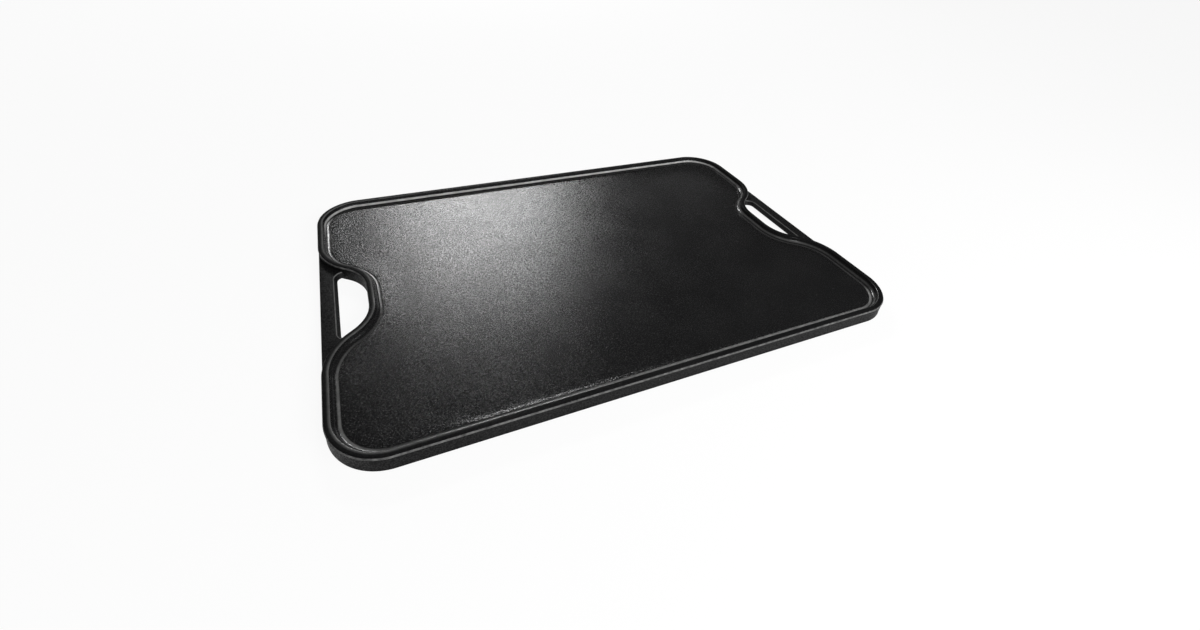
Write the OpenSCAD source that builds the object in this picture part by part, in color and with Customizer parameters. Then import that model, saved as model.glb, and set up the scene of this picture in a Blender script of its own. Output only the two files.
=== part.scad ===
// Reversible two-burner camp griddle in cast iron: smooth side up, ribbed side down.
// The real thing is one casting. Its regions are separate solids that meet face to face.
// Millimetres, +Z up, X along the plate, origin at the centre of the base.

/* [Outline] */
// Length of the plate over both handle bars
length = 610; // [560:2:760]
// Width of the plate from the front to the back
width = 406; // [390:2:500]
// Radius of the four outer corners
corner_r = 50; // [40:1:60]

/* [Rim] */
// Height of the rim above the base
rim_h = 16.5; // [15:0.5:24]
// Width of the rim from its outer wall to its inner top edge
rim_w = 6.7; // [5.5:0.1:9]
// Lean of the rim's inner walls
rim_draft = 10; // [4:1:16]
// Rounding of the rim's upper outer edge
outer_edge_r = 1.7; // [0.5:0.1:2.5]
// Rounding of the rim's lower outer edge
base_edge_r = 2; // [0.5:0.1:2.5]
// Rounding of the rim's inner edges
inner_edge_r = 1; // [0.4:0.1:1.5]
// Radius of the hollow between the rim and the cooking surface
hollow_r = 5; // [2:0.5:6]
// Radius of the hollow between the rim and the ribbed face
under_hollow_r = 3; // [1:0.5:4]

/* [Plate] */
// Height of the cooking surface above the base
surface_z = 9.75; // [9:0.25:11]
// Thickness of the plate under the cooking surface
plate_t = 5; // [4:0.25:6]

/* [Hand holes] */
// How far the rim dips in round a hand hole
dip_depth = 46.4; // [43:0.2:60]
// Straight stretch at the bottom of the dip
dip_flat = 30; // [20:1:60]
// Radius of the rim's bend where it leaves the end of the plate
leave_r = 62; // [45:1:70]
// Radius of the rim's bend at the bottom of the dip
dip_r = 44.5; // [35:0.5:52]
// Width of the handle bar
bar_w = 16.5; // [14:0.5:20]
// Height of the top of the handle bar and its gussets above the base
bar_top = 9.6; // [9:0.2:12]
// Height of the underside of the handle bar and its gussets above the base
bar_bottom = 2.8; // [2:0.2:4]
// Rounding of the handle bar's outer edges
bar_edge_r = 1.5; // [0.5:0.1:2.5]
// How far the rounded grip side of the bar swells into the hand hole
grip_swell = 3.2; // [2:0.1:3.2]
// Radius of the two ends of a hand hole
hole_end_r = 7.5; // [5:0.5:10]

/* [Ribs] */
// Number of ribs on the ribbed side
rib_count = 25; // [15:2:27]
// Width of a rib where it grows out of the plate
rib_w = 7; // [5:0.5:8]
// Lean of a rib's sides
rib_draft = 15; // [5:1:18]
// Rounding of a rib's edges
rib_edge_r = 0.8; // [0.3:0.1:1.2]
// Open channel between the ribs and the rim
rib_channel = 10; // [6:1:16]

/* [Hidden] */
$fn = 96;
iron = [0.085, 0.085, 0.09];

// Least flat strip of plate that belongs to the rim, past its hollows
seam_strip = 1;
// A gusset stops where the gap beside it gets this thin
gusset_tip_t = 0.8;
// How deep the round of a hole's end runs into the rim's wall
hole_end_bite = 0.4;
// Most swell of the grip against the bar's thickness, just short of a half-round
fullest_swell = 0.48;
// Turn of the rim from the end of the plate to a flank of the dip, which slopes four in three
dip_angle = atan2(4, 3);
// Spare length of cutting shapes
spare = 5;
// How far a bend of the rim runs into the next step
lap = 0.0002;

// Height of the ribbed face of the plate
under_z = surface_z - plate_t;
// Height of the inner wall on the cooking side
wall_h = rim_h - surface_z;
// Hollows, no larger than their walls leave room for
top_hollow_r = min(hollow_r, (wall_h - inner_edge_r) / (1 - sin(rim_draft)));
low_hollow_r = min(under_hollow_r, (under_z - inner_edge_r) / (1 - sin(rim_draft)));
// Distance from the outer wall to where each hollow runs out on its face
top_hollow_u = rim_w + (wall_h - top_hollow_r) * tan(rim_draft) + top_hollow_r / cos(rim_draft);
low_hollow_u = rim_w + (under_z - low_hollow_r) * tan(rim_draft) + low_hollow_r / cos(rim_draft);
// Distance from the outer wall to the seam between rim and plate, in whole millimetres
seam_u = ceil(max(top_hollow_u, low_hollow_u) + seam_strip);

// Straight flank between the two bends on each side of the dip
flank = (dip_depth - (leave_r + dip_r) * (1 - cos(dip_angle))) / sin(dip_angle);
// Half of the dip's length along the end of the plate
dip_half = dip_flat / 2 + (leave_r + dip_r) * sin(dip_angle) + flank * cos(dip_angle);
// Straight rim between a corner and the dip
shoulder = width / 2 - corner_r - dip_half;
// Rim of one end, as steps of [length, 0] or [radius, turn]
end_path = [
    [corner_r, 90], [shoulder, 0],
    [leave_r, dip_angle], [flank, 0], [dip_r, -dip_angle],
    [dip_flat, 0],
    [dip_r, -dip_angle], [flank, 0], [leave_r, dip_angle],
    [shoulder, 0], [corner_r, 90]];

// Centre of the round at a hole's end, from the end of the plate and from the middle of the hole
hole_end_u = bar_w + hole_end_r;
flank_u = leave_r * (1 - cos(dip_angle));
flank_v = dip_half - leave_r * sin(dip_angle);
hole_end_v = flank_v
    - (hole_end_r - hole_end_bite + (hole_end_u - flank_u) * cos(dip_angle)) / sin(dip_angle);
// Underside of the handle bar, clear of the rim's rounded lower edge
bar_z = max(bar_bottom, base_edge_r);
// Thickness of the handle bar
bar_t = bar_top - bar_z;
// Swell and radius of the handle bar's rounded grip side
swell = min(grip_swell, fullest_swell * bar_t);
grip_r = (pow(bar_t / 2, 2) + pow(swell, 2)) / (2 * swell);
// Half of the length over both gussets
gusset_half = dip_half - sqrt(pow(leave_r, 2) - pow(leave_r - gusset_tip_t, 2));

// Ribs stay this far from the outer wall
rib_inset = low_hollow_u + rib_channel;
rib_span = width - 2 * rib_inset - rib_w;
rib_pitch = rib_span / (rib_count - 1);
rib_tip_w = rib_w - 2 * under_z * tan(rib_draft);

// Points of an arc from one angle to another
function arc(centre, r, from, to, steps) =
    [for (i = [0 : steps]) let (a = from + (to - from) * i / steps) centre + r * [cos(a), sin(a)]];

// The same points the other way round, on the other side of an axis
function mirrored(points, side) =
    [for (i = [len(points) - 1 : -1 : 0]) [points[i].x * side.x, points[i].y * side.y]];

// Distance from the end of the plate to a line that keeps an inset from the outer wall, at v along the end
function dip_line(v, inset) =
    let (
        in_r = dip_r + inset,
        out_r = leave_r - inset,
        past_flat = v - dip_flat / 2,
        short = dip_half - v,
        in_u = dip_depth - dip_r)
    past_flat <= 0 ? dip_depth + inset
    : past_flat <= in_r * sin(dip_angle) ? in_u + sqrt(pow(in_r, 2) - pow(past_flat, 2))
    : short >= out_r * sin(dip_angle) ?
        in_u + in_r * cos(dip_angle) - (past_flat - in_r * sin(dip_angle)) * tan(dip_angle)
    : short > 0 ? leave_r - sqrt(pow(out_r, 2) - pow(short, 2))
    : inset;

// The same distance in the corners of the plate
function corner_line(v, inset) =
    let (past = v - (width / 2 - corner_r), r = corner_r - inset)
    past <= 0 ? inset : corner_r - sqrt(max(0, pow(r, 2) - pow(past, 2)));

// Cross-section of the rim: X is the distance in from the outer wall, Y the height
module rim_section() {
    slope = tan(rim_draft);
    low_edge = [rim_w + inner_edge_r * (slope - 1 / cos(rim_draft)), inner_edge_r];
    top_edge = [low_edge.x, rim_h - inner_edge_r];
    polygon(concat(
        arc([base_edge_r, base_edge_r], base_edge_r, 180, 270, 3),
        arc(low_edge, inner_edge_r, 270, 360 - rim_draft, 3),
        arc([low_hollow_u, under_z - low_hollow_r], low_hollow_r, 180 - rim_draft, 90, 4),
        [[seam_u, under_z], [seam_u, surface_z]],
        arc([top_hollow_u, surface_z + top_hollow_r], top_hollow_r, 270, 180 + rim_draft, 6),
        arc(top_edge, inner_edge_r, rim_draft, 90, 3),
        arc([outer_edge_r, rim_h - outer_edge_r], outer_edge_r, 90, 180, 4)));
}

// One step of rim from the origin towards +X, with the plate on its +Y side
module rim_step(size, turn, end_lap = 0) {
    outside = turn < 0 ? 1 : 0;
    sweep = abs(turn) + end_lap / size * 180 / PI;
    if (turn == 0)
        rotate([90, 0, 90]) linear_extrude(size) rim_section();
    else
        mirror([0, outside, 0]) translate([0, size, 0]) rotate(-90) rotate_extrude(angle = sweep)
            translate([size, 0]) mirror([1 - outside, 0]) rim_section();
}

// Rim swept along a path, each step starting where the last one ended
module rim_run(path, first = 0) {
    size = path[first][0];
    turn = path[first][1];
    ahead = turn == 0 ? [size, 0, 0] : [0, 0, 0];
    bend_centre = [0, sign(turn) * size, 0];
    more = first + 1 < len(path);
    rim_step(size, turn, more ? lap : 0);
    if (more)
        translate(ahead + bend_centre) rotate(turn) translate(-bend_centre) rim_run(path, first + 1);
}

// The space outside the dip, in the frame of the left end, kept at an inset from the outer wall
module dip_space(inset) {
    in_r = dip_r + inset;
    out_r = leave_r - inset;
    in_centre = [dip_depth - dip_r, dip_flat / 2];
    out_centre = [leave_r, dip_half];
    slant = [cos(dip_angle), sin(dip_angle)];
    half = [[-spare, dip_half], [inset, dip_half], out_centre - out_r * slant, in_centre + in_r * slant,
        [dip_depth + inset, dip_flat / 2]];
    difference() {
        union() {
            polygon(concat(half, mirrored(half, [1, -1])));
            for (side = [0, 1]) mirror([0, side]) translate(in_centre) circle(in_r);
        }
        for (side = [0, 1]) mirror([0, side]) translate(out_centre) circle(out_r);
    }
}

// Outline of the plate, kept at an inset from the outer wall
module plate_outline(inset) {
    straight_x = length - 2 * corner_r;
    straight_y = width - 2 * corner_r;
    difference() {
        union() {
            square([straight_x, width - 2 * inset], center = true);
            square([length - 2 * inset, straight_y], center = true);
            for (x = [-1, 1], y = [-1, 1])
                translate([x * straight_x / 2, y * straight_y / 2]) circle(corner_r - inset);
        }
        for (end = [0, 1]) mirror([end, 0]) translate([-length / 2, 0]) dip_space(inset);
    }
}

// Rounded grip side of the bar, flat against X = 0
module grip_section() {
    half_turn = acos((grip_r - swell) / grip_r);
    polygon(arc([swell - grip_r, bar_t / 2], grip_r, -half_turn, half_turn, 8));
}

// Plan of the handle inside the flat edge of its grip
module handle_plan() {
    grip_u = bar_w - swell;
    ray = dip_depth * [cos(dip_angle), sin(dip_angle)];
    difference() {
        intersection() {
            dip_space(0);
            translate([0, -gusset_half]) square([dip_depth + spare, 2 * gusset_half]);
        }
        for (side = [0, 1]) mirror([0, side]) {
            polygon([[grip_u, 0], [grip_u, hole_end_v], [hole_end_u, hole_end_v],
                [hole_end_u, hole_end_v] + ray, [2 * dip_depth, 0]]);
            translate([hole_end_u, hole_end_v]) circle(hole_end_r + swell);
        }
    }
}

// Rounded grip along the bar and round both ends of the hole
module handle_grip() {
    translate([bar_w - swell, hole_end_v, 0]) rotate([90, 0, 0])
        linear_extrude(2 * hole_end_v) grip_section();
    intersection() {
        for (side = [0, 1]) mirror([0, side, 0])
            translate([hole_end_u, hole_end_v, 0]) mirror([1, 0, 0])
                rotate_extrude(angle = 180 - dip_angle)
                    translate([hole_end_r + swell, 0]) mirror([1, 0]) grip_section();
        translate([0, 0, -spare]) linear_extrude(bar_t + 2 * spare) dip_space(0);
    }
}

// What the rounded outer edges of the bar leave away
module bar_edge_cuts() {
    for (side = [0, 1])
        translate([0, gusset_half + spare, side * bar_t]) mirror([0, 0, side]) rotate([90, 0, 0])
            linear_extrude(2 * (gusset_half + spare))
                polygon(concat([[-spare, -spare], [bar_edge_r, -spare]],
                    arc([bar_edge_r, bar_edge_r], bar_edge_r, 270, 180, 4), [[-spare, bar_edge_r]]));
}

// One rib along X between two rounded ends, hanging from the plate's ribbed face
module rib(half_length) {
    tip = rib_tip_w / 2 - rib_edge_r / tan(45 + rib_draft / 2);
    half = concat(arc([tip, rib_edge_r], rib_edge_r, 270, 360 - rib_draft, 3), [[rib_w / 2, under_z]]);
    run = floor(half_length - rib_w / 2);
    translate([-run, 0, 0]) rotate([90, 0, 90])
        linear_extrude(2 * run) polygon(concat(half, mirrored(half, [-1, 1])));
    for (end = [0, 1]) mirror([end, 0, 0]) translate([run, 0, 0]) rotate(-90)
        rotate_extrude(angle = 180) polygon(concat([[0, under_z], [0, 0]], half));
}

module cooking_plate() {
    color(iron) translate([0, 0, under_z]) linear_extrude(plate_t) plate_outline(seam_u);
}

module front_rim() {
    color(iron) translate([corner_r - length / 2, -width / 2, 0]) rim_step(length - 2 * corner_r, 0);
}

module back_rim() {
    mirror([0, 1, 0]) front_rim();
}

module left_rim() {
    color(iron) translate([corner_r - length / 2, width / 2, 0]) rotate(180) rim_run(end_path);
}

module right_rim() {
    mirror([1, 0, 0]) left_rim();
}

module left_handle() {
    color(iron) translate([-length / 2, 0, bar_z]) difference() {
        union() {
            linear_extrude(bar_t) handle_plan();
            handle_grip();
        }
        bar_edge_cuts();
    }
}

module right_handle() {
    mirror([1, 0, 0]) left_handle();
}

module grill_ribs() {
    color(iron) for (i = [0 : rib_count - 1]) {
        y = i * rib_pitch - rib_span / 2;
        end_u = max(dip_line(abs(y) - rib_w / 2, rib_inset), corner_line(abs(y) + rib_w / 2, rib_inset));
        translate([0, y, 0]) rib(length / 2 - end_u);
    }
}

cooking_plate();
front_rim();
back_rim();
left_rim();
right_rim();
left_handle();
right_handle();
grill_ribs();
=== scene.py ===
import math

import bmesh
import bpy
from mathutils import Matrix, Quaternion, Vector, kdtree, noise


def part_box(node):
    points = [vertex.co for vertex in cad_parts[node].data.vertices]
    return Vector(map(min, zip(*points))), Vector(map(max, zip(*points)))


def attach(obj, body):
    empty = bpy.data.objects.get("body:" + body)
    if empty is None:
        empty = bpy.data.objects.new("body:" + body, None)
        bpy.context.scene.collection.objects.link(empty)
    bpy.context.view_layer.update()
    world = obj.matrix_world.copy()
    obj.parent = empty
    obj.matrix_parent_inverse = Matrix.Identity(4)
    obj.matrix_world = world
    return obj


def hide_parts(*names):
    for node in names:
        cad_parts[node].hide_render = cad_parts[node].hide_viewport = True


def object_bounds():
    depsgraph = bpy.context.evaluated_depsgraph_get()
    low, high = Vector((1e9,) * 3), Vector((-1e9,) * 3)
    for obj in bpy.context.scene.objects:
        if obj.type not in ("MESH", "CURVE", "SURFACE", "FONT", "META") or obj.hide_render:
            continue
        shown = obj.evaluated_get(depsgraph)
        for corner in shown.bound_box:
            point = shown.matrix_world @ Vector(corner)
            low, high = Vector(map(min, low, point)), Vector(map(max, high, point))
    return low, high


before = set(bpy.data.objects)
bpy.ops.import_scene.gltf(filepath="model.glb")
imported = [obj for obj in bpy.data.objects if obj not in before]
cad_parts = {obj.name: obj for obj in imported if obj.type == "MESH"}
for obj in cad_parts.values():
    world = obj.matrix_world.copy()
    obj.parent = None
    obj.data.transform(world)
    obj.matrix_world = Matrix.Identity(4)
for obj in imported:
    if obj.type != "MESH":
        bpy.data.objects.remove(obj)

bl_info = {
    "name": "Camp griddle casting",
    "version": (1, 0, 0),
    "blender": (4, 5, 0),
    "location": "View3D > Sidebar > Griddle",
    "description": "Casts a reversible camp griddle in seasoned iron and sets it in a plain studio",
    "category": "Add Mesh",
}

BODY = "root"
MM = 0.001
UP = Vector((0, 0, 1))
AHEAD = Vector((1, 0, 0))
DIP_ANGLE = math.atan2(4, 3)  # the flanks of a dip slope as in a 3-4-5 triangle

# What the solids show
CAD_LOW, CAD_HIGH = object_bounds()
PLATE_LOW, PLATE_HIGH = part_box("cooking_plate")
GRIP_LOW, GRIP_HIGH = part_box("left_handle")
RIBS_LOW, RIBS_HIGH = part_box("grill_ribs")
SEAM = CAD_HIGH.y - PLATE_HIGH.y
CORNER = CAD_HIGH.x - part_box("front_rim")[1].x
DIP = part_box("left_rim")[1].x - CAD_LOW.x - SEAM

# Fineness of the meshes
RIM_PITCH = 2.2 * MM  # between two sections along the outline
RIM_FACET = 2.4 * MM  # longest straight in the rim's section
RIB_PITCH = 22 * MM  # the same two for a rib
RIB_FACET = 5 * MM
TURN_PITCH = 0.25  # radians between two sections round a bend, at most
ROUNDING_STEPS = 4  # faces round an edge, and one more for each millimetre of radius
BEVEL_STEPS = 6  # faces round an edge of a grip
SLOPED, ROUND = 0.25, 0.5  # profiles of a bevel
LIP_ROWS = 3  # rows of faces down the slope beside the groove
FACE_PITCH = 8 * MM  # between two cuts across the cooking face
FACE_SHIFT = 0.31  # of a pitch, so that the cuts miss the points of the outline
HOLE_PITCH = 0.8 * MM  # round the end of a hand hole
BURIED_PITCH = 2.5 * MM  # along the side of a grip that is buried in the rim
HOLE_STEPS = 20  # along half of a grip's hole side
OUTER_STEPS = 40  # along half of a grip's outer side
MERGE = 0.005 * MM  # points closer than this become one
SAME_PLACE = 0.01 * MM  # points closer than this count as touching
SAME_HEIGHT = 0.1 * MM  # heights closer than this count as the same
CREASE = math.radians(38)  # edges bent further than this stay sharp


def length_prop(name, description, default):
    return bpy.props.FloatProperty(
        name=name, description=description, default=default, min=0, precision=5,
        unit="LENGTH", subtype="DISTANCE")


def angle_prop(name, description, degrees):
    return bpy.props.FloatProperty(
        name=name, description=description, default=math.radians(degrees),
        subtype="ANGLE", unit="ROTATION")


def share_prop(name, description, default):
    return bpy.props.FloatProperty(
        name=name, description=description, default=default, min=0, max=1, subtype="FACTOR")


def gloss_prop(name, place, default):
    return bpy.props.FloatProperty(
        name=name, description="Refractive index of the seasoning " + place, default=default, min=1)


def colour_prop(name, description, default):
    return bpy.props.FloatVectorProperty(
        name=name, description=description, default=default, size=3, min=0, max=1, subtype="COLOR")


def power_prop(name, description, default):
    return bpy.props.FloatProperty(
        name=name, description=description, default=default, min=0, unit="POWER")


def place_prop(name, description, default):
    return bpy.props.FloatVectorProperty(
        name=name, description=description, default=default, size=3, subtype="XYZ", unit="LENGTH")


class GriddleSizes(bpy.types.PropertyGroup):
    """Sizes of the casting, taken from the solids where they show them."""
    length: length_prop("Length", "Length over both grip bars", CAD_HIGH.x - CAD_LOW.x)
    width: length_prop("Width", "Width from the front to the back", CAD_HIGH.y - CAD_LOW.y)
    corner_r: length_prop("Corner radius", "Radius of the four outer corners", CORNER)
    rim_h: length_prop("Rim height", "Height of the rim above the base", CAD_HIGH.z - CAD_LOW.z)
    rim_w: length_prop("Rim width", "Width of the rim at its top", 6.7 * MM)
    rim_draft: angle_prop("Rim draft", "Lean of the rim's inner walls", 10)
    outer_edge_r: length_prop("Outer edge", "Rounding of the rim's upper outer edge", 1.7 * MM)
    shoulder: length_prop(
        "Shoulder", "How far the outer wall leans in from the base to the top", 0.25 * MM)
    line_z: length_prop("Parting height", "Height of the parting line above the base", 14.7 * MM)
    line_w: length_prop("Parting width", "Width of the ground parting line", 1.0 * MM)
    base_edge_r: length_prop("Base edge", "Rounding of the rim's lower outer edge", 0.6 * MM)
    inner_edge_r: length_prop("Inner edges", "Rounding of the rim's inner edges", 1 * MM)
    hollow_r: length_prop("Hollow", "Radius between the rim and the cooking face", 6 * MM)
    groove: length_prop("Groove", "Depth of the shallow groove at the foot of the rim", 0.45 * MM)
    groove_w: length_prop("Groove width", "Width of the flat floor of the groove", 0.4 * MM)
    lip_w: length_prop(
        "Lip", "Width of the slope from the groove's lip down to the cooking face", 4 * MM)
    lip_spread: bpy.props.FloatProperty(
        name="Lip spread", description="How many times wider that slope is at both ends",
        default=6, min=1)
    under_hollow_r: length_prop(
        "Lower hollow", "Radius between the rim and the ribbed face", 3 * MM)
    surface_z: length_prop(
        "Cooking face", "Height of the cooking face along its seam with the rim", PLATE_HIGH.z)
    under_z: length_prop("Ribbed face", "Height of the ribbed face above the base", PLATE_LOW.z)
    seam_u: length_prop("Seam", "Distance from the outer wall to the edge of the plate", SEAM)
    dip_depth: length_prop("Dip depth", "How far the rim dips in round a hand hole", DIP)
    dip_flat: length_prop("Dip flat", "Straight stretch at the bottom of a dip", 30 * MM)
    leave_r: length_prop(
        "Leaving bend", "Radius where the rim leaves the end of the plate", 62 * MM)
    dip_r: length_prop("Dip bend", "Radius at the bottom of a dip", 44.5 * MM)
    bar_w: length_prop("Bar width", "Width of a grip bar", 17.3 * MM)
    bar_z: length_prop("Bar underside", "Height of a grip bar's underside", GRIP_LOW.z)
    bar_top: length_prop("Bar top", "Height of a grip bar's top", GRIP_HIGH.z)
    bar_edge_r: length_prop("Bar edges", "Rounding of a grip bar's outer edges", 1.5 * MM)
    grip_slope: length_prop("Grip slope", "Width of the slope along a bar's hole side", 4 * MM)
    grip_r: length_prop("Grip rounding", "Rounding under a grip bar's hole side", 1.5 * MM)
    grip_root: length_prop("Grip root", "How far a grip is buried in the rim's wall", 4.5 * MM)
    grip_tip: length_prop(
        "Grip tip", "How far the rim has left the end of the plate where a grip ends", 0.05 * MM)
    hole_end_r: length_prop("Hole end", "Radius of the two ends of a hand hole", 7.5 * MM)
    hole_bite: length_prop(
        "Hole bite", "How far the end of a hand hole runs into the rim's wall", 0.4 * MM)
    rib_count: bpy.props.IntProperty(
        name="Ribs", description="Number of grill ribs", default=25, min=2)
    rib_w: length_prop("Rib width", "Width of a rib at its root", 7 * MM)
    rib_draft: angle_prop("Rib draft", "Lean of a rib's sides", 15)
    rib_edge_r: length_prop("Rib edges", "Rounding of a rib's edges", 0.8 * MM)
    rib_root_r: length_prop("Rib root", "Radius between a rib and the web", 1.5 * MM)
    rib_flare: length_prop("Rib flare", "How far a rib's root reaches out at each side", 1.3 * MM)
    rib_sunk: length_prop("Rib sunk", "How far a rib is sunk into the web", 0.4 * MM)


class IronFinish(bpy.types.PropertyGroup):
    """Looks of the seasoned iron, of what is worn or ground bare, and of the highlights painted in
    as wear.
    """
    black: colour_prop("Seasoning", "Colour of the seasoned iron", (0.006, 0.006, 0.0062))
    thin: colour_prop(
        "Thin seasoning", "Colour where the seasoning is thin", (0.009, 0.009, 0.0092))
    # The bare colour is also the colour of the highlights painted along the rim and the grips
    bare: colour_prop(
        "Bare iron", "Colour of the iron where it is worn or ground bare", (0.52, 0.52, 0.512))
    face_rough: share_prop("Face roughness", "Roughness of the cooking face", 0.235)
    rim_rough: share_prop("Rim roughness", "Roughness of the rim's inner side", 0.23)
    wall_rough: share_prop(
        "Wall roughness", "Roughness of the outer wall, the top of the rim and the grips", 0.5)
    under_rough: share_prop("Underside roughness", "Roughness of the ribs", 0.5)
    face_gloss: gloss_prop("Face gloss", "on the cooking face", 1.47)
    rim_gloss: gloss_prop("Rim gloss", "on the rim's inner side and on the ribs", 1.35)
    wall_gloss: gloss_prop("Wall gloss", "on the outer wall", 1.19)
    top_gloss: gloss_prop("Top gloss", "along the top of the rim", 1.16)
    grip_gloss: gloss_prop("Grip gloss", "on the grips", 1.25)
    mottling: share_prop("Mottling", "How far the roughness wanders in slow clouds", 0.018)
    glint: share_prop("Glint", "How far the roughness wanders from pebble to pebble", 0.14)
    pebble: length_prop("Pebble size", "Size of the pebbles left by the sand mould", 1.4 * MM)
    dull: share_prop(
        "Dull pebbles", "How far the gloss rises and falls from a pebble's crest to its foot", 0.3)
    pebble_depth: length_prop(
        "Pebble depth", "Depth of the pebbles left by the sand mould", 0.15 * MM)
    rim_depth: length_prop(
        "Rim pebble depth", "Depth of the pebbles inside and on top of the rim and on the grips",
        0.025 * MM)
    wander: length_prop("Casting wander", "Unevenness of the rim and the cooking face", 0.12 * MM)
    line_height: length_prop(
        "Parting line", "How far the parting line stands out of the outer wall", 0.25 * MM)
    speck: share_prop("Specks", "How bare the small specks are", 0.11)
    line_ground: share_prop("Ground line", "How bare the parting line is at most", 0.33)
    # The shares below are partly wear and partly painted highlights. They cover the front's inner
    # edge, a lighter top at the left, the inner wall at the right, the foot of the rim, and the
    # upper edge of a grip's slope
    edge_wear_and_highlight: share_prop("Edge wear", "How bare the rim's inner edge is along the front", 0.8)
    left_wear_and_highlight: share_prop("Left wear", "How bare the top of the rim is at the left", 0.2)
    right_wear_and_highlight: share_prop("Right wear", "How bare the rim's inner wall is at the right", 0.3)
    corner_wear_and_highlight: share_prop("Corner wear", "How bare the foot is at the left of the front", 0.27)
    foot_wear_and_highlight: share_prop("Foot wear", "How bare the foot of the rim is everywhere", 0.08)
    grip_wear_and_highlight: share_prop("Grip wear", "How bare the upper edge of a grip's slope is", 0.35)


class StudioSettings(bpy.types.PropertyGroup):
    """Floor, light and camera."""
    floor: colour_prop("Floor", "Colour of the floor, as it lights the plate", (0.95, 0.95, 0.95))
    floor_glow: share_prop("Floor glow", "Brightness of the floor that the camera sees", 0.92)
    floor_shade: colour_prop(
        "Floor shade", "Colour that the light adds to that floor", (0.08, 0.08, 0.08))
    horizon: share_prop("Horizon", "Brightness of the room behind the floor", 0.45)
    room: share_prop("Room", "Brightness of the room overhead", 0.09)
    haze: share_prop(
        "Haze", "How high the horizon reaches, as a share of straight up", 0.22)
    back_power: power_prop("Back light", "Power of the soft light behind the plate", 33.5)
    low_power: power_prop("Low light", "Power of the soft light low behind the plate", 3)
    front_power: power_prop("Front light", "Power of the soft light beside the camera", 17)
    eye: place_prop("Eye", "Place of the camera", (-0.23638, -0.46478, 0.38587))
    aim: place_prop("Aim", "Point that the camera is aimed at", (-0.00268, 0.01935, 0.00975))
    roll: angle_prop("Roll", "Tilt of the camera", 4.762)
    lens: bpy.props.FloatProperty(
        name="Lens", description="Focal length in millimetres", default=15.58, min=1)
    shift: bpy.props.FloatVectorProperty(
        name="Shift", description="Shift of the camera's frame", default=(0.014595, -0.057326),
        size=2, precision=5)


# Shaping

def flank_length(s):
    """Straight slope between the leaving bend and the dip bend."""
    drop = (s.leave_r + s.dip_r) * (1 - math.cos(DIP_ANGLE))
    return (s.dip_depth - drop) / math.sin(DIP_ANGLE)


def dip_half(s):
    """Half of a dip's length along the end of the plate."""
    bends = (s.leave_r + s.dip_r) * math.sin(DIP_ANGLE)
    return s.dip_flat / 2 + bends + flank_length(s) * math.cos(DIP_ANGLE)


def quarter_steps(s):
    """A quarter of the outline, from the middle of the front to the middle of the right-hand dip.

    Each step is (size, turn): a length to go straight on, or a radius to bend round.
    """
    return [
        (s.length / 2 - s.corner_r, 0), (s.corner_r, math.pi / 2),
        (s.width / 2 - s.corner_r - dip_half(s), 0),
        (s.leave_r, DIP_ANGLE), (flank_length(s), 0), (s.dip_r, -DIP_ANGLE), (s.dip_flat / 2, 0)]


def run_round(bm, s, profile):
    """Sweeps a profile along a quarter of the outline, and mirrors that to the whole."""
    start = Vector((0, -s.width / 2, 0))
    bmesh.ops.translate(bm, verts=verts_of(profile), vec=start)
    run(bm, profile, start, AHEAD, quarter_steps(s), RIM_PITCH)
    for flip in ((1, -1, 1), (-1, 1, 1)):
        copy = bmesh.ops.duplicate(bm, geom=bm.verts[:] + bm.edges[:] + bm.faces[:])["geom"]
        bmesh.ops.scale(bm, verts=verts_of(copy), vec=flip)
    close(bm)


def run(bm, geom, place, heading, steps, pitch):
    """Sweeps geom along the steps with a section about every pitch."""
    for size, turn in steps:
        centre = place + UP.cross(heading) * math.copysign(size, turn)
        bend = Matrix.Rotation(turn, 3, "Z")
        if turn:
            ahead = centre + bend @ (place - centre)
            count = max(round(size * abs(turn) / pitch), round(abs(turn) / TURN_PITCH))
            stride = Vector()
        else:
            ahead = place + heading * size
            count = max(1, round(size / pitch))
            stride = (ahead - place) / count
        geom = bmesh.ops.spin(
            bm, geom=geom, cent=centre, axis=UP, dvec=stride, angle=turn, steps=count)["geom_last"]
        place, heading = ahead, bend @ heading


def section(bm, corners, pitch, closed=True):
    """Wire in the YZ plane through (y, z, rounding) corners, with no straight longer than pitch."""
    verts = [bm.verts.new((0, y, z)) for y, z, r in corners]
    for ends in zip(verts, verts[1:] + verts[:1] * closed):
        bm.edges.new(ends)
    for vert, (y, z, r) in zip(verts, corners):
        if r:
            one, other = (edge.other_vert(vert).co - vert.co for edge in vert.link_edges)
            bmesh.ops.bevel(
                bm, geom=[vert], offset=r / math.tan(one.angle(other) / 2), offset_type="OFFSET",
                affect="VERTICES", segments=ROUNDING_STEPS + round(r / MM), profile=ROUND,
                material=-1)
    for edge in bm.edges[:]:
        cuts = math.ceil(edge.calc_length() / pitch) - 1
        if cuts > 0:
            bmesh.ops.subdivide_edges(bm, edges=[edge], cuts=cuts)
    return bm.verts[:] + bm.edges[:]


def verts_of(geom):
    return [item for item in geom if isinstance(item, bmesh.types.BMVert)]


def ease(low, high, value):
    """Climbs smoothly from 0 at low to 1 at high."""
    t = min(1, max(0, (value - low) / (high - low)))
    return t * t * (3 - 2 * t)


def between(low, high, share):
    return low + (high - low) * share


def wander(point, wave):
    """Slow unevenness of a sand casting, from 0 to 1."""
    return 0.5 + 0.5 * noise.noise(point / wave)


def close(bm):
    """Joins what meets and turns every face outwards."""
    bmesh.ops.remove_doubles(bm, verts=bm.verts[:], dist=MERGE)
    bmesh.ops.recalc_face_normals(bm, faces=bm.faces[:])
    bm.normal_update()


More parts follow.
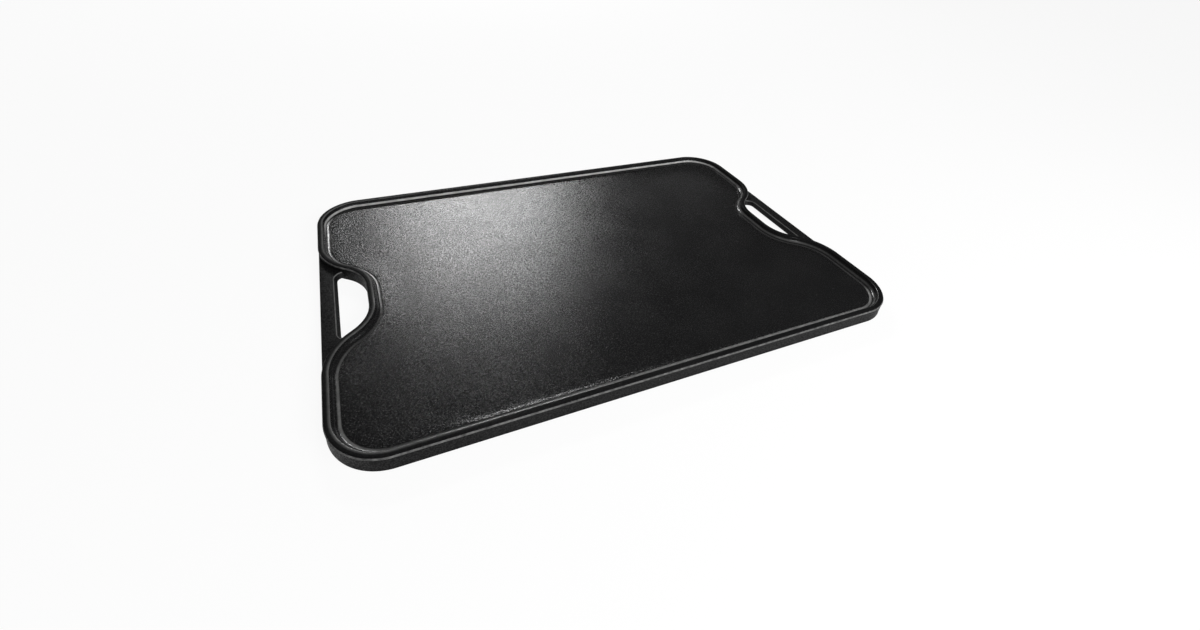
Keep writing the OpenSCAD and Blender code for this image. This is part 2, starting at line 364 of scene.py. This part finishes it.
def place_piece(bm, name, materials, nodes):
    """Makes the shape a piece on the body, in place of its solids."""
    gaps = [edge for edge in bm.edges if len(edge.link_faces) != 2]
    if gaps:
        raise RuntimeError(f"{name} has {len(gaps)} open edges")
    for face in bm.faces:
        face.smooth = True
    for edge in bm.edges:
        edge.smooth = edge.calc_face_angle() < CREASE
    mesh = bpy.data.meshes.new(name)
    bm.to_mesh(mesh)
    bm.free()
    for material in materials:
        mesh.materials.append(material)
    piece = bpy.data.objects.new(name, mesh)
    bpy.context.scene.collection.objects.link(piece)
    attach(piece, BODY)
    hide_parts(*nodes)


# Finish

def node(tree, kind, inputs, **settings):
    """Adds a node, sets it, and fills its inputs with values or links."""
    made = tree.nodes.new(kind)
    for key, value in settings.items():
        setattr(made, key, value)
    for key, value in inputs.items():
        if isinstance(value, bpy.types.NodeSocket):
            tree.links.new(value, made.inputs[key])
        else:
            made.inputs[key].default_value = value
    return made


def fresh_tree(owner):
    owner.use_nodes = True
    owner.node_tree.nodes.clear()
    return owner.node_tree


def ranged(tree, value, low, high, to_low, to_high):
    made = node(tree, "ShaderNodeMapRange", {
        "Value": value, "From Min": low, "From Max": high, "To Min": to_low, "To Max": to_high})
    return made.outputs["Result"]


def joined(tree, operation, one, other):
    return node(tree, "ShaderNodeMath", {0: one, 1: other}, operation=operation).outputs[0]


def cloudy(tree, spot, size, detail=3.0):
    made = node(tree, "ShaderNodeTexNoise", {"Vector": spot, "Scale": 1 / size, "Detail": detail})
    return made.outputs["Fac"]


def blend(tree, factor, one, other):
    made = node(tree, "ShaderNodeMix", {0: factor, 6: one, 7: other}, data_type="RGBA")
    return made.outputs[2]


# Sizes of the noise in the seasoning, and the stretch of each noise that counts
CLOUD, CLOUD_SPAN = 60 * MM, (0.36, 0.66)
PATCH, PATCH_SPAN = 4 * MM, (0.3, 0.7)
# patches that break up the wear and the painted highlights
WEAR_AND_HIGHLIGHT_PATCH, WEAR_AND_HIGHLIGHT_PATCH_SPAN = 9 * MM, (0.35, 0.65)
SPECK, SPECK_SPAN = 14 * MM, (0.045, 0.03)
GLINT, GLINT_SPAN = 0.8, (0.3, 0.7)  # in pebble sizes
GRIT = 0.7  # in pebble sizes
PEBBLE_SPAN = (0.22, 0.62)  # from the crest of a pebble to its foot
PEBBLE_BLUR = 0.7  # how far pebbles run into each other
LEAST_GROUND = 0.1  # how bare the parting line is at least
LEAST_WEAR_AND_HIGHLIGHT = 0.7  # share of the wear and painted highlight that is there at least
EVEN_GLOSS = 0.5  # specular level that leaves the gloss as it is


def iron(name, finish, rough, gloss, depth, ground=0.0):
    """Seasoned cast iron, satin black over the pebbles of the mould, bare where worn or ground, and
    lightened towards bare where the wear attribute holds wear and painted highlights.
    """
    if name in bpy.data.materials:
        return bpy.data.materials[name]
    material = bpy.data.materials.new(name)
    tree = fresh_tree(material)
    spot = node(tree, "ShaderNodeTexCoord", {}).outputs["Object"]
    bare = (*finish.bare, 1)
    cloud = ranged(tree, cloudy(tree, spot, CLOUD, detail=4.0), *CLOUD_SPAN, 0, 1)
    pebbles = node(
        tree, "ShaderNodeTexVoronoi",
        {"Vector": spot, "Scale": 1 / finish.pebble, "Smoothness": PEBBLE_BLUR},
        feature="SMOOTH_F1").outputs["Distance"]
    height = joined(tree, "ADD", pebbles, cloudy(tree, spot, finish.pebble * GRIT))
    bump = node(tree, "ShaderNodeBump", {"Height": height, "Distance": depth, "Strength": 1.0})
    colour = blend(tree, cloud, (*finish.black, 1), (*finish.thin, 1))
    specks = node(tree, "ShaderNodeTexVoronoi", {"Vector": spot, "Scale": 1 / SPECK}, feature="F1")
    speck = ranged(tree, specks.outputs["Distance"], *SPECK_SPAN, 0, finish.speck)
    colour = blend(tree, speck, colour, bare)
    if ground:
        patches = cloudy(tree, spot, PATCH, detail=5.0)
        patch = ranged(tree, patches, *PATCH_SPAN, LEAST_GROUND, ground)
        colour = blend(tree, patch, colour, bare)
    # The wear attribute is partly real wear and partly painted highlight. It blends the colour
    # towards bare iron
    wear = node(tree, "ShaderNodeAttribute", {}, attribute_name="wear").outputs["Fac"]
    patchy_wear_and_highlight = ranged(tree, cloudy(tree, spot, WEAR_AND_HIGHLIGHT_PATCH), *WEAR_AND_HIGHLIGHT_PATCH_SPAN, LEAST_WEAR_AND_HIGHLIGHT, 1.0)
    colour = blend(tree, joined(tree, "MULTIPLY", wear, patchy_wear_and_highlight), colour, bare)
    glints = cloudy(tree, spot, finish.pebble * GLINT, detail=2.0)
    glint = ranged(tree, glints, *GLINT_SPAN, -finish.glint, finish.glint)
    mottled = ranged(tree, cloud, 0, 1, rough - finish.mottling, rough + finish.mottling)
    level = ranged(
        tree, pebbles, *PEBBLE_SPAN, EVEN_GLOSS + finish.dull, EVEN_GLOSS - finish.dull)
    surface = node(tree, "ShaderNodeBsdfPrincipled", {
        "Base Color": colour, "Roughness": joined(tree, "ADD", glint, mottled), "IOR": gloss,
        "Specular IOR Level": level, "Normal": bump.outputs["Normal"]})
    node(tree, "ShaderNodeOutputMaterial", {"Surface": surface.outputs["BSDF"]})
    return material


# Pieces

# Stretches along or across the plate over which something fades in, from the first share of its
# length or width to the second, counted from the middle
AT_FRONT = (-0.38, -0.45)
AT_BACK = (0.3, 0.45)
AT_LEFT = (-0.2, -0.45)
AT_END = (0.3, 0.4)
TO_FRONT = (0, -0.35)
TO_LEFT = (0, -0.4)
FRONT_TO_BACK = (-0.3, 0.3)
LEFT_TO_MIDDLE = (-0.3, 0)

# Worn lines of the rim, partly wear and partly painted highlights
WEAR_AND_HIGHLIGHT_REACH, WEAR_AND_HIGHLIGHT_CORE = 1.6 * MM, 0.7 * MM  # no wear or painted highlight outside the one, all of it inside the other
FOOT_LINE = 0.6 * MM  # from the end of the hollow back into it
TOP_LINE = 1.3 * MM  # from the inner edge back over the top
WALL_LINE = (0.55 * MM, 2.1 * MM)  # from the root inwards and up the hollow
TOP_BAND = 1 * MM  # depth below the top that takes its wear and painted highlight
FOOT_BAND = 1 * MM  # height above the cooking face that takes the foot's wear and painted highlight
EDGE_BAND = 0.4 * MM  # width of the top that takes the inner edge's wear and painted highlight
LEAST_RIGHT = 1 / 3  # share of the right end's wear and painted highlight that is left at its front
LEAST_FRONT = 0.3  # share of the front's wear and painted highlight that is left at its left end

# Finish and unevenness of the rim
INNER, LINE, WALL, TOP = range(4)
TOP_SKIN = 0.6 * MM  # depth of the faces that make up the top
GLOSSY_EDGE = 0.8  # share of the inner edge's rounding that is glossy along the front
SEAM_CALM, SEAM_STILL = 4 * MM, 1 * MM  # distances from the seam where the unevenness dies out
BASE_CALM = 1.5 * MM  # height above the base below which it dies out
TOP_CALM, TOP_STILL = 0.3 * MM, 0.8  # depth below the top where this share of it dies out
RIM_WAVE = 17 * MM  # length of the waves in the rim
RIPPLE_WAVE, RIPPLE = 5 * MM, 0.4  # length of the ripples on them, and their share of depth
LINE_WAVE = 9 * MM  # length of the notches in the parting line
LINE_CALM = 3 * MM  # height above the base from which the wall lies behind the parting line


class CastRim(bpy.types.Operator):
    """Cast the rim round the plate and its two hand-hole dips"""
    bl_idname = "griddle.cast_rim"
    bl_label = "Cast rim"

    def execute(self, context):
        s, finish = context.scene.griddle_sizes, context.scene.griddle_finish
        corners, worn_highlight_lines = self.shape(s)
        bm = bmesh.new()
        inward = bm.verts.layers.float.new("inward")
        wear = bm.verts.layers.float.new("wear")
        profile = section(bm, corners, RIM_FACET)
        for vert in bm.verts:
            vert[inward] = vert.co.y
            # Worn lines: partly real wear and partly painted highlights along the foot, the inner
            # edge and the inner wall
            vert[wear] = max(
                ease(WEAR_AND_HIGHLIGHT_REACH, WEAR_AND_HIGHLIGHT_CORE, (vert.co.yz - line).length) for line in worn_highlight_lines)
        run_round(bm, s, profile)
        for vert in bm.verts:
            vert[wear] *= self.wear_and_highlight_share(s, finish, vert.co, vert[inward])
        for face in bm.faces:
            face.material_index = self.material_of(s, face, inward)
        for vert in bm.verts:
            vert.co -= vert.normal * self.unevenness(s, finish, vert.co, vert[inward])
        rough, gloss, grain = finish.wall_rough, finish.wall_gloss, finish.pebble_depth
        materials = [
            iron("seasoned_rim", finish, finish.rim_rough, finish.rim_gloss, finish.rim_depth),
            iron("ground_line", finish, rough, gloss, grain, ground=finish.line_ground),
            iron("seasoned_wall", finish, rough, gloss, grain),
            iron("seasoned_top", finish, rough, finish.top_gloss, finish.rim_depth)]
        nodes = ("front_rim", "back_rim", "left_rim", "right_rim")
        place_piece(bm, "rim_casting", materials, nodes)
        return {"FINISHED"}

    def shape(self, s):
        """Corners of the rim's section, and the points of it that the worn lines run through; those
        lines are partly wear and partly painted highlight.
        """
        lean = math.tan(s.rim_draft)
        floor_z = s.surface_z - s.groove
        under_root = s.rim_w + s.under_z * lean
        root = s.rim_w + (s.rim_h - floor_z) * lean
        foot = root + s.hollow_r * math.tan(math.pi / 4 - s.rim_draft / 2)
        line_heights = (s.line_z, s.line_z - s.line_w / 2, s.line_z - s.line_w)
        corners = [
            (0, 0, s.base_edge_r), (s.rim_w, 0, s.inner_edge_r),
            (under_root, s.under_z, s.under_hollow_r), (s.seam_u, s.under_z, 0),
            (s.seam_u, s.surface_z, 0), (foot + s.groove_w, floor_z, 0),
            (root, floor_z, s.hollow_r), (s.rim_w, s.rim_h, s.inner_edge_r),
            (s.shoulder, s.rim_h, s.outer_edge_r),
            *((s.shoulder * z / s.rim_h, z, 0) for z in line_heights)]
        in_by, up_by = WALL_LINE
        worn_highlight_lines = (
            Vector((foot - FOOT_LINE, floor_z)), Vector((s.rim_w - TOP_LINE, s.rim_h)),
            Vector((root + in_by, floor_z + up_by)))
        return corners, worn_highlight_lines

    def wear_and_highlight_share(self, s, finish, place, inward):
        """Share of a worn line's wear and painted highlight that is there at a place."""
        along, across = place.x / s.length, place.y / s.width
        front = ease(*AT_FRONT, across)
        # Painted highlight along the front's inner edge, and a painted lighter top at the left,
        # both partly wear
        if place.z > s.rim_h - TOP_BAND:
            edge = finish.edge_wear_and_highlight * front * (inward > s.rim_w - EDGE_BAND)
            return max(edge, finish.left_wear_and_highlight * ease(*AT_LEFT, along))
        # Painted highlight on the inner wall at the right and along the back, partly wear
        if place.z > s.surface_z + FOOT_BAND:
            right = finish.right_wear_and_highlight * between(LEAST_RIGHT, 1, ease(*FRONT_TO_BACK, across))
            return max(right * ease(*AT_END, along), ease(*AT_BACK, across))
        # Painted highlight along the foot, at the front and its left corner, partly wear
        front *= between(LEAST_FRONT, 1, ease(*LEFT_TO_MIDDLE, along))
        corner = finish.corner_wear_and_highlight * ease(*TO_LEFT, along) * ease(*TO_FRONT, across)
        return max(finish.foot_wear_and_highlight, corner, front)

    def material_of(self, s, face, inward):
        """Which of the rim's materials a face gets."""
        height = face.calc_center_median().z
        if all(vert[inward] < s.outer_edge_r / 2 for vert in face.verts):
            return LINE if height > s.line_z - s.line_w else WALL
        glossy_from = s.rim_w - GLOSSY_EDGE * s.inner_edge_r
        dull = all(vert.co.y > 0 or vert[inward] < glossy_from for vert in face.verts)
        return TOP if dull and height > s.rim_h - TOP_SKIN else INNER

    def unevenness(self, s, finish, place, inward):
        """How far the casting lies inside its plain shape at a place."""
        free = 1 - ease(s.seam_u - SEAM_CALM, s.seam_u - SEAM_STILL, inward)
        free *= ease(0, BASE_CALM, place.z)
        free *= 1 - TOP_STILL * ease(s.rim_h - TOP_CALM, s.rim_h, place.z)
        depth = finish.wander * (wander(place, RIM_WAVE) + RIPPLE * wander(place, RIPPLE_WAVE))
        if inward < s.shoulder and abs(place.z - s.line_z) < SAME_HEIGHT:
            depth *= wander(place, LINE_WAVE)
        elif inward < s.outer_edge_r / 2:
            depth += finish.line_height * ease(0, LINE_CALM, place.z)
        return depth * free


FACE_WAVE, FACE_WANDER = 55 * MM, 1.5  # length of the waves, and their depth beside the rim's
FACE_CALM = 35 * MM  # distance from the edge of the plate where the unevenness dies out
UPRIGHT = 0.5  # a face is a wall if its normal rises less than this


class CastPlate(bpy.types.Operator):
    """Cast the web with the smooth cooking face"""
    bl_idname = "griddle.cast_plate"
    bl_label = "Cast cooking plate"

    def execute(self, context):
        s, finish = context.scene.griddle_sizes, context.scene.griddle_finish
        bm = bmesh.new()
        seam = [bm.verts.new((0, s.seam_u, z)) for z in (s.under_z, s.surface_z)]
        upright = bm.edges.new(seam)
        run_round(bm, s, [*seam, upright])
        rings = [edge for edge in bm.edges if len(edge.link_faces) == 1]
        bmesh.ops.holes_fill(bm, edges=rings, sides=0)
        self.divide(bm, s)
        self.settle(bm, s, finish)
        face = iron(
            "seasoned_face", finish, finish.face_rough, finish.face_gloss, finish.pebble_depth)
        place_piece(bm, "cooking_web", [face], ("cooking_plate",))
        return {"FINISHED"}

    def top_faces(self, bm, s):
        level = s.surface_z - SAME_HEIGHT
        return [face for face in bm.faces if face.calc_center_median().z > level]

    def divide(self, bm, s):
        """Divides the cooking face into rows along its edge and a grid inside them."""
        for _ in range(LIP_ROWS):
            inside = max(self.top_faces(bm, s), key=lambda face: face.calc_area())
            bmesh.ops.inset_region(
                bm, faces=[inside], thickness=s.lip_w / LIP_ROWS, use_even_offset=True)
        for axis, reach in ((AHEAD, s.length / 2), (UP.cross(AHEAD), s.width / 2)):
            count = int(reach / FACE_PITCH)
            for step in range(-count, count):
                top = self.top_faces(bm, s)
                edges = {edge for face in top for edge in face.edges}
                verts = {vert for face in top for vert in face.verts}
                bmesh.ops.bisect_plane(
                    bm, geom=[*verts, *edges, *top], dist=SAME_PLACE,
                    plane_co=axis * (step + FACE_SHIFT) * FACE_PITCH, plane_no=axis)
        bmesh.ops.triangulate(bm, faces=bm.faces[:], quad_method="BEAUTY", ngon_method="BEAUTY")
        close(bm)

    def settle(self, bm, s, finish):
        """Lowers the cooking face beside the groove's lip, and leaves it a little uneven."""
        wall = [
            vert for vert in bm.verts
            if any(abs(face.normal.z) < UPRIGHT for face in vert.link_faces)]
        near = kdtree.KDTree(len(wall))
        for index, vert in enumerate(wall):
            near.insert(vert.co, index)
        near.balance()
        for vert in set(bm.verts) - set(wall):
            away = near.find(vert.co)[2]
            lip = s.lip_w * between(1, s.lip_spread, ease(*AT_END, abs(vert.co.x) / s.length))
            uneven = FACE_WANDER * finish.wander * wander(vert.co, FACE_WAVE)
            vert.co.z -= s.groove * ease(0, lip, away) + ease(0, FACE_CALM, away) * uneven


HOLE_SIDE, BURIED_SIDE, OUTER_SIDE = 1, 2, 3  # zones of a grip's plan
WORN_HIGHLIGHT_FROM, WORN_HIGHLIGHT_TO = 0.3 * MM, 1 * MM  # depths below a bar's top between which its slope is worn and carries a painted highlight


class CastGrips(bpy.types.Operator):
    """Cast the grip bar and its gussets at each end"""
    bl_idname = "griddle.cast_grips"
    bl_label = "Cast grips"

    def execute(self, context):
        for side, facing in (("left", 1), ("right", -1)):
            self.cast(context, side, facing)
        return {"FINISHED"}

    def cast(self, context, side, facing):
        s, finish = context.scene.griddle_sizes, context.scene.griddle_finish
        bm = bmesh.new()
        zone = bm.verts.layers.int.new("zone")
        self.plan(bm, s, zone)
        other_half = bmesh.ops.duplicate(bm, geom=bm.verts[:] + bm.edges[:])["geom"]
        bmesh.ops.scale(bm, verts=verts_of(other_half), vec=(1, -1, 1))
        bmesh.ops.remove_doubles(bm, verts=bm.verts[:], dist=SAME_PLACE)
        face = bmesh.ops.contextual_create(bm, geom=bm.edges[:])["faces"][0]
        raised = bmesh.ops.extrude_face_region(bm, geom=[face])["geom"]
        bmesh.ops.translate(bm, verts=verts_of(raised), vec=(0, 0, s.bar_top - s.bar_z))
        bmesh.ops.translate(bm, verts=bm.verts[:], vec=(-s.length / 2, 0, s.bar_z))
        bmesh.ops.scale(bm, verts=bm.verts[:], vec=(facing, 1, 1))
        close(bm)
        wear = bm.verts.layers.float.new("wear")
        for mark, height, rounding, profile in (
                (HOLE_SIDE, s.bar_top, s.grip_slope, SLOPED),
                (HOLE_SIDE, s.bar_z, s.grip_r, ROUND),
                (OUTER_SIDE, s.bar_top, s.bar_edge_r, ROUND),
                (OUTER_SIDE, s.bar_z, s.bar_edge_r, ROUND)):
            edges = [
                edge for edge in bm.edges if all(
                    vert[zone] == mark and abs(vert.co.z - height) < SAME_PLACE
                    for vert in edge.verts)]
            made = bmesh.ops.bevel(
                bm, geom=edges, offset=rounding, offset_type="OFFSET", affect="EDGES",
                segments=BEVEL_STEPS, profile=profile, material=-1)
            # The slope's upper edge gets wear that is partly a painted highlight
            if profile == SLOPED:
                for vert in made["verts"]:
                    worn_highlight_band = WORN_HIGHLIGHT_FROM < s.bar_top - vert.co.z < WORN_HIGHLIGHT_TO
                    vert[wear] = finish.grip_wear_and_highlight * worn_highlight_band
        close(bm)
        grip = iron(
            "seasoned_grip", finish, finish.wall_rough, finish.grip_gloss, finish.rim_depth)
        place_piece(bm, side + "_grip", [grip], (side + "_handle",))

    def plan(self, bm, s, zone):
        """Draws half of the plan, from the middle of the hole side to that of the outer side."""
        gap = s.hole_end_r - s.hole_bite
        buried_r = s.leave_r - s.grip_root
        out = Vector((math.cos(DIP_ANGLE), math.sin(DIP_ANGLE), 0))
        slope = Vector((out.y, -out.x, 0))
        bend_centre = Vector((s.leave_r, dip_half(s), 0))
        hole_end = bend_centre - out * (s.leave_r + gap)
        hole_end += slope * (s.bar_w + s.hole_end_r - hole_end.x) / slope.x
        tip = Vector((0, bend_centre.y - math.sqrt(2 * s.grip_tip * s.leave_r), 0))

        def line(points, mark):
            for point in points:
                bm.verts.new(point)[zone] = mark
            bm.verts.ensure_lookup_table()
            joins = len(bm.verts) > len(points)
            fresh = bm.verts[-len(points) - 1:] if joins else bm.verts[:]
            for ends in zip(fresh, fresh[1:]):
                bm.edges.new(ends)

        def arc(centre, angle, pitch):
            bm.verts.ensure_lookup_table()
            start = bm.verts[-1]
            count = math.ceil((start.co - centre).length * abs(angle) / pitch)
            bmesh.ops.spin(bm, geom=[start], cent=centre, axis=UP, angle=angle, steps=count)

        hole_points = [hole_end.y * k / HOLE_STEPS for k in range(HOLE_STEPS + 1)]
        line([Vector((s.bar_w, y, 0)) for y in hole_points], HOLE_SIDE)
        arc(hole_end, DIP_ANGLE - math.pi, HOLE_PITCH)
        line([hole_end + out * (gap + s.grip_root), bend_centre - out * buried_r], BURIED_SIDE)
        arc(bend_centre, math.asin((bend_centre.y - tip.y) / buried_r) - DIP_ANGLE, BURIED_PITCH)
        line([tip * (1 - k / OUTER_STEPS) for k in range(OUTER_STEPS + 1)], OUTER_SIDE)


FLARE_EDGE = 0.02 * MM  # keeps the flared root of a rib from lying flush with the web


class CastRibs(bpy.types.Operator):
    """Cast the grill ribs of the reverse side"""
    bl_idname = "griddle.cast_ribs"
    bl_label = "Cast grill ribs"

    def execute(self, context):
        s, finish = context.scene.griddle_sizes, context.scene.griddle_finish
        solids = bpy.data.objects["grill_ribs"].data.vertices
        root = s.rib_w / 2
        tip = root - s.under_z * math.tan(s.rib_draft)
        flared, sunk_z = root + s.rib_flare, s.under_z + s.rib_sunk
        spread = (RIBS_HIGH.y - RIBS_LOW.y - s.rib_w) / (s.rib_count - 1)
        corners = [
            (0, 0, 0), (-tip, 0, s.rib_edge_r), (-root, s.under_z, s.rib_root_r),
            (-flared, s.under_z + FLARE_EDGE, 0), (-flared, sunk_z, 0), (0, sunk_z, 0)]
        bm = bmesh.new()
        for index in range(s.rib_count):
            across = RIBS_LOW.y + root + index * spread
            reach = max(vert.co.x for vert in solids if abs(vert.co.y - across) < root) - root
            start = Vector((-reach, across, 0))
            rib = bmesh.new()
            profile = section(rib, corners, RIB_FACET, closed=False)
            bmesh.ops.translate(rib, verts=verts_of(profile), vec=start)
            run(rib, profile, start, AHEAD, 2 * [(2 * reach, 0), (0, math.pi)], RIB_PITCH)
            close(rib)
            mesh = bpy.data.meshes.new("rib")
            rib.to_mesh(mesh)
            rib.free()
            bm.from_mesh(mesh)
            bpy.data.meshes.remove(mesh)
        ribs = iron(
            "seasoned_ribs", finish, finish.under_rough, finish.rim_gloss, finish.pebble_depth)
        place_piece(bm, "grill_rib_set", [ribs], ("grill_ribs",))
        return {"FINISHED"}


FLOOR_REACH = 12  # metres from the middle of the floor to its edges
FLOOR_DROP = 0.1 * MM  # keeps the floor clear of the base
SENSOR = 36  # width of the camera's sensor in millimetres
# Where each lamp hangs, the point it is aimed at, and its width and height, in metres
LAMPS = {
    "back": {"place": (0.4, 2.61, 1.56), "aim": (-0.087, 0.15, 0), "size": (1.1, 0.28)},
    "low": {"place": (1.4, 2.6, 0.42), "aim": (0, 0, 0), "size": (1.6, 0.4)},
    "front": {"place": (0.4, -1.0, 0.72), "aim": (0, 0.1, 0), "size": (1.4, 0.25)},
}


class SetStudio(bpy.types.Operator):
    """Set the griddle on a pale floor in soft light, with the camera in front"""
    bl_idname = "griddle.set_studio"
    bl_label = "Set studio"

    def execute(self, context):
        scene, studio = context.scene, context.scene.griddle_studio
        self.lay_floor(scene, studio)
        self.light_room(scene, studio)
        for side, lamp in LAMPS.items():
            self.hang_lamp(scene, side + "_light", getattr(studio, side + "_power"), **lamp)
        self.set_camera(scene, studio)
        scene.view_settings.view_transform = "Standard"
        return {"FINISHED"}

    def lay_floor(self, scene, studio):
        bm = bmesh.new()
        bmesh.ops.create_grid(bm, x_segments=1, y_segments=1, size=FLOOR_REACH)
        bmesh.ops.translate(bm, verts=bm.verts[:], vec=(0, 0, -FLOOR_DROP))
        mesh = bpy.data.meshes.new("floor")
        bm.to_mesh(mesh)
        bm.free()
        mesh.materials.append(self.pale_floor(studio))
        floor = bpy.data.objects.new("floor", mesh)
        scene.collection.objects.link(floor)

    def pale_floor(self, studio):
        """Matt floor for the light it throws on the plate, near white wherever it is seen."""
        material = bpy.data.materials.new("pale_floor")
        tree = fresh_tree(material)
        rays = node(tree, "ShaderNodeLightPath", {}).outputs
        seen = joined(tree, "MAXIMUM", rays["Is Camera Ray"], rays["Is Glossy Ray"])
        seen = joined(tree, "MAXIMUM", seen, rays["Is Transmission Ray"])
        matt = node(tree, "ShaderNodeBsdfDiffuse", {"Color": (*studio.floor, 1)}).outputs[0]
        white = node(tree, "ShaderNodeEmission", {
            "Color": (1, 1, 1, 1), "Strength": studio.floor_glow}).outputs[0]
        shade = node(tree, "ShaderNodeBsdfDiffuse", {"Color": (*studio.floor_shade, 1)}).outputs[0]
        pale = node(tree, "ShaderNodeAddShader", {0: white, 1: shade}).outputs[0]
        shown = node(tree, "ShaderNodeMixShader", {0: seen, 1: matt, 2: pale}).outputs[0]
        node(tree, "ShaderNodeOutputMaterial", {"Surface": shown})
        return material

    def light_room(self, scene, studio):
        scene.world = bpy.data.worlds.new("studio_room")
        tree = fresh_tree(scene.world)
        looking = node(tree, "ShaderNodeTexCoord", {}).outputs["Generated"]
        height = node(tree, "ShaderNodeSeparateXYZ", {0: looking}).outputs["Z"]
        level = ranged(tree, height, 0.0, studio.haze, studio.horizon, studio.room)
        glow = node(tree, "ShaderNodeBackground", {"Color": (1, 1, 1, 1), "Strength": level})
        node(tree, "ShaderNodeOutputWorld", {"Surface": glow.outputs[0]})

    def hang_lamp(self, scene, name, power, place, aim, size):
        lamp = bpy.data.lights.new(name, "AREA")
        lamp.shape = "RECTANGLE"
        lamp.size, lamp.size_y = size
        lamp.energy = power
        hung = bpy.data.objects.new(name, lamp)
        hung.location = place
        hung.rotation_mode = "QUATERNION"
        hung.rotation_quaternion = (Vector(aim) - Vector(place)).to_track_quat("-Z", "Y")
        hung.visible_camera = False
        scene.collection.objects.link(hung)

    def set_camera(self, scene, studio):
        lens = bpy.data.cameras.new("camera")
        lens.sensor_fit = "HORIZONTAL"
        lens.sensor_width = SENSOR
        lens.lens = studio.lens
        lens.shift_x, lens.shift_y = studio.shift
        camera = bpy.data.objects.new("camera", lens)
        camera.location = studio.eye
        camera.rotation_mode = "QUATERNION"
        level = (Vector(studio.aim) - Vector(studio.eye)).to_track_quat("-Z", "Y")
        camera.rotation_quaternion = level @ Quaternion(UP, studio.roll)
        scene.collection.objects.link(camera)
        scene.camera = camera


OPERATORS = (CastRim, CastPlate, CastGrips, CastRibs, SetStudio)


class GriddlePanel(bpy.types.Panel):
    """Casting, finish and studio of the griddle"""
    bl_idname = "VIEW3D_PT_griddle"
    bl_label = "Camp griddle"
    bl_space_type = "VIEW_3D"
    bl_region_type = "UI"
    bl_category = "Griddle"

    def draw(self, context):
        for title, group in zip(("Sizes", "Finish", "Studio"), GROUPS):
            box = self.layout.box()
            box.label(text=title)
            for name in GROUPS[group].__annotations__:
                box.prop(getattr(context.scene, group), name)
        for operator in OPERATORS:
            self.layout.operator(operator.bl_idname)


GROUPS = {
    "griddle_sizes": GriddleSizes,
    "griddle_finish": IronFinish,
    "griddle_studio": StudioSettings,
}
CLASSES = (*GROUPS.values(), *OPERATORS, GriddlePanel)


def register():
    for made in CLASSES:
        bpy.utils.register_class(made)
    for name, group in GROUPS.items():
        setattr(bpy.types.Scene, name, bpy.props.PointerProperty(type=group))


def unregister():
    for name in GROUPS:
        delattr(bpy.types.Scene, name)
    for made in reversed(CLASSES):
        bpy.utils.unregister_class(made)


def main():
    register()
    bpy.ops.griddle.cast_rim()
    bpy.ops.griddle.cast_plate()
    bpy.ops.griddle.cast_grips()
    bpy.ops.griddle.cast_ribs()
    bpy.ops.griddle.set_studio()


if __name__ == "__main__":
    main()
